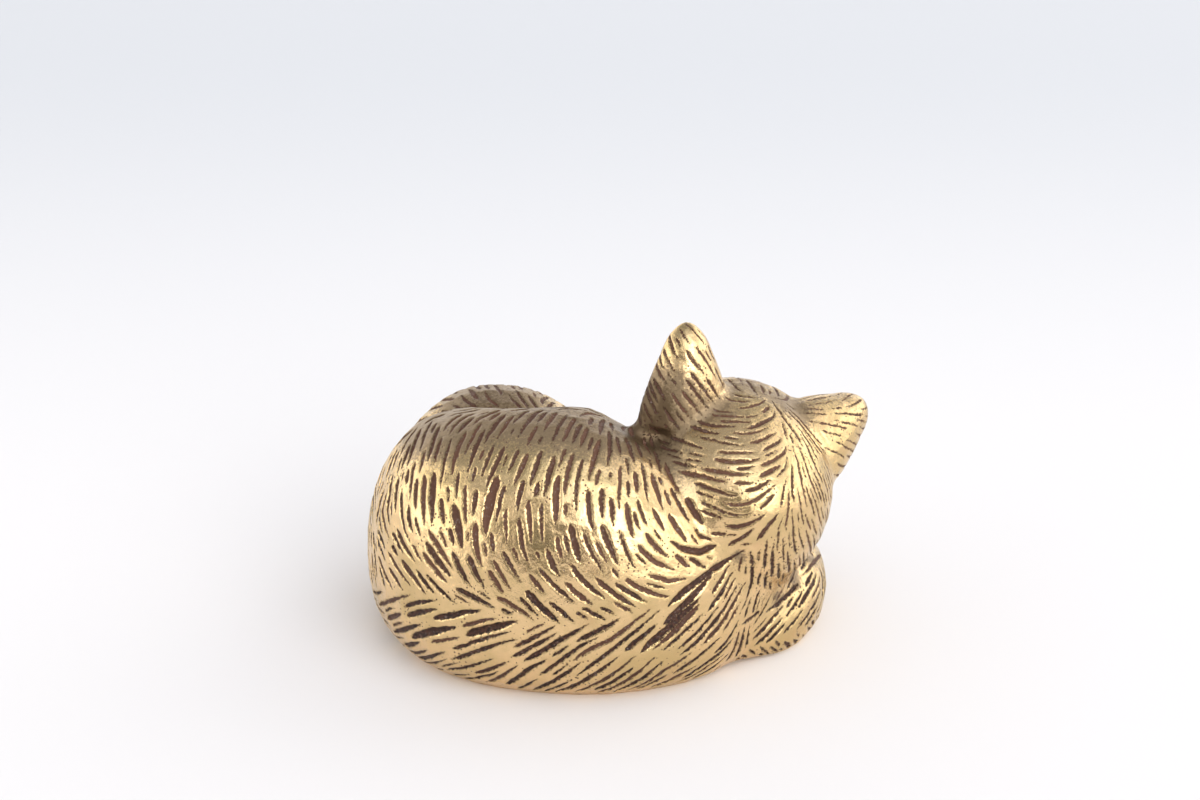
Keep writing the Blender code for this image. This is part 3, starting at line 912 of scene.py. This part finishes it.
def brassMaterial(name, tone, pitAmount):
    mat = bpy.data.materials.new(name)
    mat.use_nodes = True
    tree = mat.node_tree
    look = brassLook

    def stored(label):
        return addNode(tree, "ShaderNodeAttribute", attribute_name=label)["Fac"]

    def calc(operation, a, b, clamp=False):
        return maths(tree, operation, a, b, clamp)

    def blend(share, a, b):
        return blendColour(tree, share, a, b)

    # places in millimetres
    coords = addNode(tree, "ShaderNodeTexCoord")["Object"]
    place = addNode(tree, "ShaderNodeVectorMath", {0: coords, "Scale": 1 / mm}, operation="SCALE")[0]
    height = addNode(tree, "ShaderNodeSeparateXYZ", {0: place})["Z"]
    inputs = {"Distance": stored("furDist"), "Position": place}
    groove = addNode(tree, "ShaderNodeGroup", inputs, node_tree=groovePatina)
    pits = addNode(tree, "ShaderNodeGroup", {"Position": place, "Amount": pitAmount}, node_tree=castingPits)

    # the metal, toned in wide patches and beside the strokes
    worn = noiseOf(tree, place, 0.16, 4, 0.6)
    blush = noiseOf(tree, place, 0.33, 3, 0.55)
    base = blend(spread(tree, worn, 0.38, 0.68), tone, look["olive"])
    base = blend(spread(tree, blush, 0.56, 0.78, 0, 0.30), base, look["warm"])
    base = blend(calc("MULTIPLY", groove["Halo"], 0.35), base, look["olive"])
    # a grainy film where dirt and patina stay, and painted shade, near black crust at the strongest spots
    speck = noiseOf(tree, place, 3.4, 4, 0.75)
    dirtAndShade = calc("ADD", stored("grime"), calc("MULTIPLY", calc("SUBTRACT", speck, 0.5), 1.5))
    filmAndShade = calc("MULTIPLY", spread(tree, dirtAndShade, 0.30, 0.72), 0.85)
    base = blend(filmAndShade, base, blend(spread(tree, dirtAndShade, 0.85, 1.30), look["filmAndShade"], look["crustAndShade"]))
    # the patina in the strokes is drier and lighter higher up, and differs from stroke to stroke
    redness = spread(tree, noiseOf(tree, place, 3.0, 5, 0.8), 0.42, 0.60)
    drier = spread(tree, height, look["dryFrom"], look["dryTo"], 0, 0.75)
    drier = calc("ADD", drier, spread(tree, stored("furTint"), 0.45, 1.0, -0.1, 0.6), True)
    dark = blend(drier, blend(redness, look["groove"], look["grooveRed"]), look["dry"])
    dark = blend(spread(tree, speck, 0.56, 0.68, 0, 0.75), dark, look["dust"])
    mask = calc("MAXIMUM", groove["Mask"], calc("MULTIPLY", pits["Mask"], 0.85))
    # patina, dirt and the painted shade aren't metallic, and duller
    dull = calc("MAXIMUM", calc("MULTIPLY", mask, 0.9), calc("MULTIPLY", filmAndShade, 0.45))
    fine = noiseOf(tree, place, 2.6, 4, 0.65)
    rough = calc("ADD", look["roughness"], calc("MULTIPLY", fine, 0.14))
    rough = addNode(tree, "ShaderNodeMix", {0: dull, 2: rough, 3: look["grooveRoughness"]})[0]
    rise = calc("SUBTRACT", calc("MULTIPLY", fine, 0.035), calc("MULTIPLY", mask, 0.06))
    rise = calc("ADD", rise, calc("MULTIPLY", noiseOf(tree, place, 0.9, 3, 0.5), 0.10))
    bump = addNode(tree, "ShaderNodeBump", {"Strength": 1.0, "Distance": mm, "Height": rise})["Normal"]
    shader = tree.nodes["Principled BSDF"].inputs
    join(tree, blend(mask, base, dark), shader["Base Color"])
    join(tree, calc("SUBTRACT", 1.0, dull), shader["Metallic"])
    join(tree, rough, shader["Roughness"])
    join(tree, 0.2, shader["Specular IOR Level"])
    join(tree, bump, shader["Normal"])
    return mat


# painted shade: a darker copy of the brass for the low pieces
shadedTone = tuple(c * brassLook["lowPaintedShade"] for c in brassLook["bright"])
brass = brassMaterial("brass", brassLook["bright"], brassLook["pits"])
brassShaded = brassMaterial("brass shaded", shadedTone, brassLook["lowPits"])
print("materials made")


# inputs of the tool that cuts the strokes: half widths, depth and lip in mm, unsteadiness, dents
graver = {
    "Width Min": 0.17, "Width Max": 0.28, "Depth": 0.22, "Lip": 0.006,
    "Wobble": 0.11, "Wobble Scale": 1100.0, "Dents": 0.05, "Dent Scale": 300.0, "Seed": 3,
}
# points along a stroke this far apart, in mm; the shares of it that taper at its start and end; how
# wide the bowl of the cut is in half widths, which half width is cut full depth, where the lip stands
strokeForm = dict(
    spacing=0.11, start=0.16, end=0.42, power=0.6, bowl=1.25, fullWidth=0.26, lipAt=0.13, lipWidth=0.12,
)


def graverTree():
    tree = bpy.data.node_groups.new("graver", "GeometryNodeTree")

    def socket(name, kind, way="INPUT"):
        return tree.interface.new_socket(name, in_out=way, socket_type="NodeSocket" + kind)

    socket("Geometry", "Geometry")
    socket("Strokes", "Object")
    for name, value in graver.items():
        socket(name, "Int" if name == "Seed" else "Float").default_value = value
    socket("Material", "Material")
    socket("Geometry", "Geometry", "OUTPUT")

    def node(kind, inputs=None, **settings):
        return addNode(tree, "GeometryNode" + kind, inputs, **settings)

    def calc(operation, a, b, clamp=False):
        return maths(tree, operation, a, b, clamp)

    def vectors(operation, inputs):
        return addNode(tree, "ShaderNodeVectorMath", inputs, operation=operation)[0]

    def noise(**inputs):
        return addNode(tree, "ShaderNodeTexNoise", {"Vector": position, **inputs})

    def chance(inputs):
        # a value of its own for each stroke
        return addNode(tree, "FunctionNodeRandomValue", {"ID": number, **inputs}, data_type="FLOAT")[1]

    def named(name, kind="FLOAT"):
        return node("InputNamedAttribute", {"Name": name}, data_type=kind)["Attribute"]

    def store(geometry, name, value):
        inputs = {"Geometry": geometry, "Name": name, "Value": value}
        return node("StoreNamedAttribute", inputs, data_type="FLOAT", domain="POINT")["Geometry"]

    take = tree.nodes.new("NodeGroupInput").outputs
    # the strokes as curves with their own width and tint, thin at both ends
    lines = node("ObjectInfo", {"Object": take["Strokes"]}, transform_space="RELATIVE")["Geometry"]
    lines = node("MeshToCurve", {"Mesh": lines})["Curve"]
    spacing = {"Curve": lines, "Length": strokeForm["spacing"] * mm}
    lines = node("ResampleCurve", spacing, mode="LENGTH")["Curve"]
    along = node("SplineParameter")["Factor"]
    blunt = calc("DIVIDE", along, strokeForm["start"], True)
    sharp = calc("DIVIDE", calc("SUBTRACT", 1.0, along), strokeForm["end"], True)
    blunt, sharp = (calc("POWER", value, strokeForm["power"]) for value in (blunt, sharp))
    number = named("stroke", "INT")
    width = chance({2: take["Width Min"], 3: take["Width Max"], "Seed": take["Seed"]})
    half = calc("MULTIPLY", calc("MULTIPLY", calc("MULTIPLY", blunt, sharp), width), named("thick"))
    tint = chance({"Seed": calc("ADD", take["Seed"], 5.0)})
    lines = node("CurveToMesh", {"Curve": store(store(lines, "half", half), "tint", tint)})["Mesh"]
    # where each point of the skin is, a little unsteady like a hand-held tool
    position = node("InputPosition")["Position"]
    wobble = noise(Scale=take["Wobble Scale"], Detail=3.0)["Color"]
    wobble = vectors("SUBTRACT", {0: wobble, 1: (0.5, 0.5, 0.5)})
    wobble = vectors("SCALE", {0: wobble, "Scale": calc("MULTIPLY", take["Wobble"], 2 * mm)})
    shaken = vectors("ADD", {0: position, 1: wobble})
    near = node("Proximity", {0: lines, "Sample Position": shaken}, target_element="EDGES")["Distance"]
    which = node("SampleNearest", {"Geometry": lines, "Sample Position": shaken}, domain="POINT")["Index"]

    def fromStroke(name):
        inputs = {"Geometry": lines, "Value": named(name), "Index": which}
        return node("SampleIndex", inputs, data_type="FLOAT", domain="POINT")[0]

    halfWidth = fromStroke("half")
    distance = calc("MULTIPLY", near, 1 / mm)
    edge = calc("SUBTRACT", distance, halfWidth)
    # a round-bottomed cut, as deep as it is wide, with metal pushed up beside it
    ratio = calc("DIVIDE", distance, calc("MAXIMUM", calc("MULTIPLY", halfWidth, strokeForm["bowl"]), 0.02))
    bowl = calc("SUBTRACT", 1.0, calc("MULTIPLY", ratio, ratio), True)
    share = calc("DIVIDE", halfWidth, strokeForm["fullWidth"])
    depth = calc("MULTIPLY", calc("MULTIPLY", bowl, take["Depth"]), share)
    beside = calc("DIVIDE", calc("SUBTRACT", edge, strokeForm["lipAt"]), strokeForm["lipWidth"])
    lip = calc("DIVIDE", take["Lip"], calc("ADD", calc("MULTIPLY", beside, beside), 1.0))
    # the metal between the strokes isn't quite even either
    uneven = calc("SUBTRACT", noise(Scale=take["Dent Scale"], Detail=2.0)["Fac"], 0.5)
    dent = calc("MULTIPLY", uneven, calc("MULTIPLY", take["Dents"], 2.0))
    offset = calc("MULTIPLY", calc("ADD", calc("SUBTRACT", lip, depth), dent), mm)
    push = vectors("SCALE", {0: node("InputNormal")["Normal"], "Scale": offset})
    skin = store(store(take["Geometry"], "furDist", edge), "furTint", fromStroke("tint"))
    skin = node("SetPosition", {"Geometry": skin, "Offset": push})["Geometry"]
    skin = node("RealizeInstances", {"Geometry": skin})["Geometry"]
    skin = node("SetMaterial", {"Geometry": skin, "Material": take["Material"]})["Geometry"]
    addNode(tree, "NodeGroupOutput", {"Geometry": skin})
    return tree


def carve(points, strokes):
    skinMesh.vertices.foreach_set("co", (points * mm).ravel())
    skinMesh.update()
    skin = addObject("carved", skinMesh)
    tool = strokesObject(strokes)
    tree = graverTree()
    cut = skin.modifiers.new("graver", "NODES")
    cut.node_group = tree
    sockets = {item.name: item.identifier for item in tree.interface.items_tree if item.in_out == "INPUT"}
    for name, value in {"Strokes": tool, "Material": brass, **graver}.items():
        cut[sockets[name]] = value
    made = appliedMesh(skin)
    bpy.data.objects.remove(tool)
    return made


def valuesOf(mesh, name):
    values = np.empty(len(mesh.vertices))
    mesh.attributes[name].data.foreach_get("value", values)
    return values


carvedMesh = carve(skinPoints, furStrokes)
carvedPoints, carvedQuads, _ = meshArrays(carvedMesh)
furDist = np.minimum(valuesOf(carvedMesh, "furDist"), faceMarks(skinPoints, skinOwner, faceShape))
furTint = valuesOf(carvedMesh, "furTint")
carvedNormals = pointNormals(carvedPoints, carvedQuads)[0]
print("carved, least edge distance", round(float(furDist.min()), 3))


pieceNames = dict(
    trunk="trunkCast", head="headCast", left_ear="leftEarCast", right_ear="rightEarCast",
    left_haunch="haunchCast", left_hind_foot="hindFootCast", left_foreleg="leftForelegCast",
    right_foreleg="rightForelegCast", tail="tailCast",
)
# these pieces take the darker copy of the brass, painted shade near the floor
lowPieces = ("tail", "left_foreleg", "right_foreleg", "left_hind_foot")
# how far the middle of a closed seam is drawn towards the middle of its piece
hubDepth = 0.06


def componentsOf(count, links):
    # one label for everything that hangs together by the links
    label = np.arange(count)
    while True:
        before = label.copy()
        low = np.minimum(label[links[:, 0]], label[links[:, 1]])
        np.minimum.at(label, links[:, 0], low)
        np.minimum.at(label, links[:, 1], low)
        label = label[label]
        if (label == before).all():
            return label


def faceOwners():
    # each face goes to one piece, and crumbs cut off from a piece go to the neighbour
    count = len(carvedQuads)
    shares = np.zeros((count, len(nodeNames)))
    for k in range(4):
        shares[np.arange(count), skinOwner[carvedQuads[:, k]]] += 1
    owner = np.argmax(shares, axis=1)
    pairs = {}
    for face, quad in enumerate(carvedQuads.tolist()):
        for k in range(4):
            a, b = quad[k], quad[(k + 1) % 4]
            pairs.setdefault((a, b) if a < b else (b, a), []).append(face)
    links = np.array([p for p in pairs.values() if len(p) == 2])
    label = componentsOf(count, links[owner[links[:, 0]] == owner[links[:, 1]]])
    biggest = np.array([np.bincount(label[owner == piece]).argmax() for piece in range(len(nodeNames))])
    crumbs = label != biggest[owner]
    print("crumbs:", int(crumbs.sum()))
    while crumbs.any():
        votes = np.zeros((count, len(nodeNames)))
        for a, b in ((0, 1), (1, 0)):
            good = crumbs[links[:, a]] & ~crumbs[links[:, b]]
            np.add.at(votes, (links[good, a], owner[links[good, b]]), 1)
        change = votes.sum(axis=1) > 0
        if not change.any():
            break
        owner[change] = votes[change].argmax(axis=1)
        crumbs &= ~change
    return np.where(crumbs, -1, owner)


def makePiece(name, owner):
    mine = carvedQuads[owner == nodeNames.index(name)]
    used = np.unique(mine)
    back = np.full(len(carvedPoints), -1)
    back[used] = np.arange(len(used))
    quads = back[mine]
    points = carvedPoints[used]
    centre = points.mean(axis=0)
    # open rims, gathered into loops and closed by a fan round a hub a little inside
    sides = set()
    for k in range(4):
        sides.update(zip(quads[:, k].tolist(), quads[:, (k + 1) % 4].tolist()))
    rim = sorted((a, b) for a, b in sides if (b, a) not in sides)
    label = componentsOf(len(points), np.array(rim, dtype=int).reshape(-1, 2)).tolist()
    loops = {}
    for a, b in rim:
        loops.setdefault(label[a], []).append((a, b))
    extra, caps = [], []
    for loop in loops.values():
        middle = points[[a for a, b in loop]].mean(axis=0)
        middle += (centre - middle) * hubDepth
        hub = len(points) + len(extra)
        extra.append(middle)
        caps += [(b, a, hub) for a, b in loop]
    allPoints = np.vstack([points, np.array(extra)]) if extra else points
    mesh = bpy.data.meshes.new(pieceNames[name])
    mesh.from_pydata((allPoints * mm).tolist(), [], quads.tolist() + caps)
    stored = (("furDist", furDist, 1.0), ("furTint", furTint, 0.5), ("grime", skinGrimeAndShade, 0.0))
    for label, values, atHub in stored:
        values = np.concatenate([values[used], np.full(len(extra), atHub)])
        mesh.attributes.new(label, "FLOAT", "POINT").data.foreach_set("value", values)
    mesh.polygons.foreach_set("use_smooth", [True] * len(mesh.polygons))
    # shading normals of the whole casting, so that no seam shows
    corner = np.zeros((len(mesh.loops), 3))
    corner[: quads.size] = carvedNormals[used][quads.ravel()]
    mesh.normals_split_custom_set(corner.tolist())
    mesh.materials.append(brassShaded if name in lowPieces else brass)
    obj = addObject(pieceNames[name], mesh)
    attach(obj, "root")
    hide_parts(name)
    print(pieceNames[name], len(mesh.polygons), "faces,", len(loops), "rims")


carvedOwner = faceOwners()
for pieceNode in nodeNames:
    makePiece(pieceNode, carvedOwner)


stageLook = dict(
    floor=(0.88, 0.85, 0.834), far=(0.68, 0.685, 0.70), halfSize=3.0, roughness=0.8,
    # between these the floor goes from its near to its darker far colour, a painted shade of the light falling
    # off, and the room from horizon to zenith
    farBand=(0.0, 0.2), skyBand=(0.15, 0.75),
    horizon=(1.95, 1.93, 1.90), zenith=(0.44, 0.46, 0.50),
    # softer or brighter parts of the room: azimuth from the camera's side, elevation, inner and
    # outer reach in degrees, gain
    patches=(
        (-12, 4, 12, 42, 0.05), (22, 50, 14, 42, 3.8), (-74, 14, 10, 34, 1.35), (50, 28, 12, 34, 1.3),
    ),
    lamp=dict(at=(0.85, 0.35, 0.62), aim=(0, 0, 0.012), size=0.9, power=2.2, colour=(1.0, 0.98, 0.95)),
)


def makeStage():
    mesh = bpy.data.meshes.new("floor")
    half = stageLook["halfSize"]
    corners = [(-half, -half, 0), (half, -half, 0), (half, half, 0), (-half, half, 0)]
    mesh.from_pydata(corners, [], [(0, 1, 2, 3)])
    floor = addObject("floor", mesh)
    mat = bpy.data.materials.new("floor")
    mat.use_nodes = True
    tree = mat.node_tree
    coords = addNode(tree, "ShaderNodeTexCoord")["Object"]
    away = addNode(tree, "ShaderNodeSeparateXYZ", {0: coords})["Y"]
    tone = blendColour(tree, spread(tree, away, *stageLook["farBand"]), stageLook["floor"], stageLook["far"])
    shader = tree.nodes["Principled BSDF"].inputs
    given = {"Base Color": tone, "Roughness": stageLook["roughness"], "Specular IOR Level": 0.2}
    for name, value in given.items():
        join(tree, value, shader[name])
    mesh.materials.append(mat)


def areaLight(name, at, aim, size, power, colour):
    lamp = bpy.data.lights.new(name, "AREA")
    lamp.shape = "SQUARE"
    lamp.size = size
    lamp.energy = power
    lamp.color = colour
    obj = addObject(name, lamp)
    obj.location = at
    obj.rotation_mode = "QUATERNION"
    obj.rotation_quaternion = (Vector(aim) - Vector(at)).to_track_quat("-Z", "Y")


def makeWorld():
    # a bright room round the table, dimmer overhead and on the camera's side
    world = bpy.data.worlds.new("studio")
    bpy.context.scene.world = world
    world.use_nodes = True
    tree = world.node_tree
    sight = addNode(tree, "ShaderNodeTexCoord")["Generated"]
    up = addNode(tree, "ShaderNodeSeparateXYZ", {0: sight})["Z"]
    sky = blendColour(tree, spread(tree, up, *stageLook["skyBand"]), stageLook["horizon"], stageLook["zenith"])
    gain = 1.0
    for azimuth, elevation, inner, outer, strength in stageLook["patches"]:
        side, rise = math.radians(azimuth), math.radians(elevation)
        patch = (math.sin(side) * math.cos(rise), -math.cos(side) * math.cos(rise), math.sin(rise))
        aim = addNode(tree, "ShaderNodeVectorMath", {0: sight, 1: patch}, operation="DOT_PRODUCT")["Value"]
        low, high = math.cos(math.radians(outer)), math.cos(math.radians(inner))
        gain = maths(tree, "MULTIPLY", spread(tree, aim, low, high, 1.0, strength), gain)
    background = tree.nodes["Background"].inputs
    join(tree, sky, background["Color"])
    join(tree, gain, background["Strength"])


makeStage()
makeWorld()
areaLight("window", **stageLook["lamp"])
bpy.context.scene.view_settings.view_transform = "Standard"
print("stage and lights set")
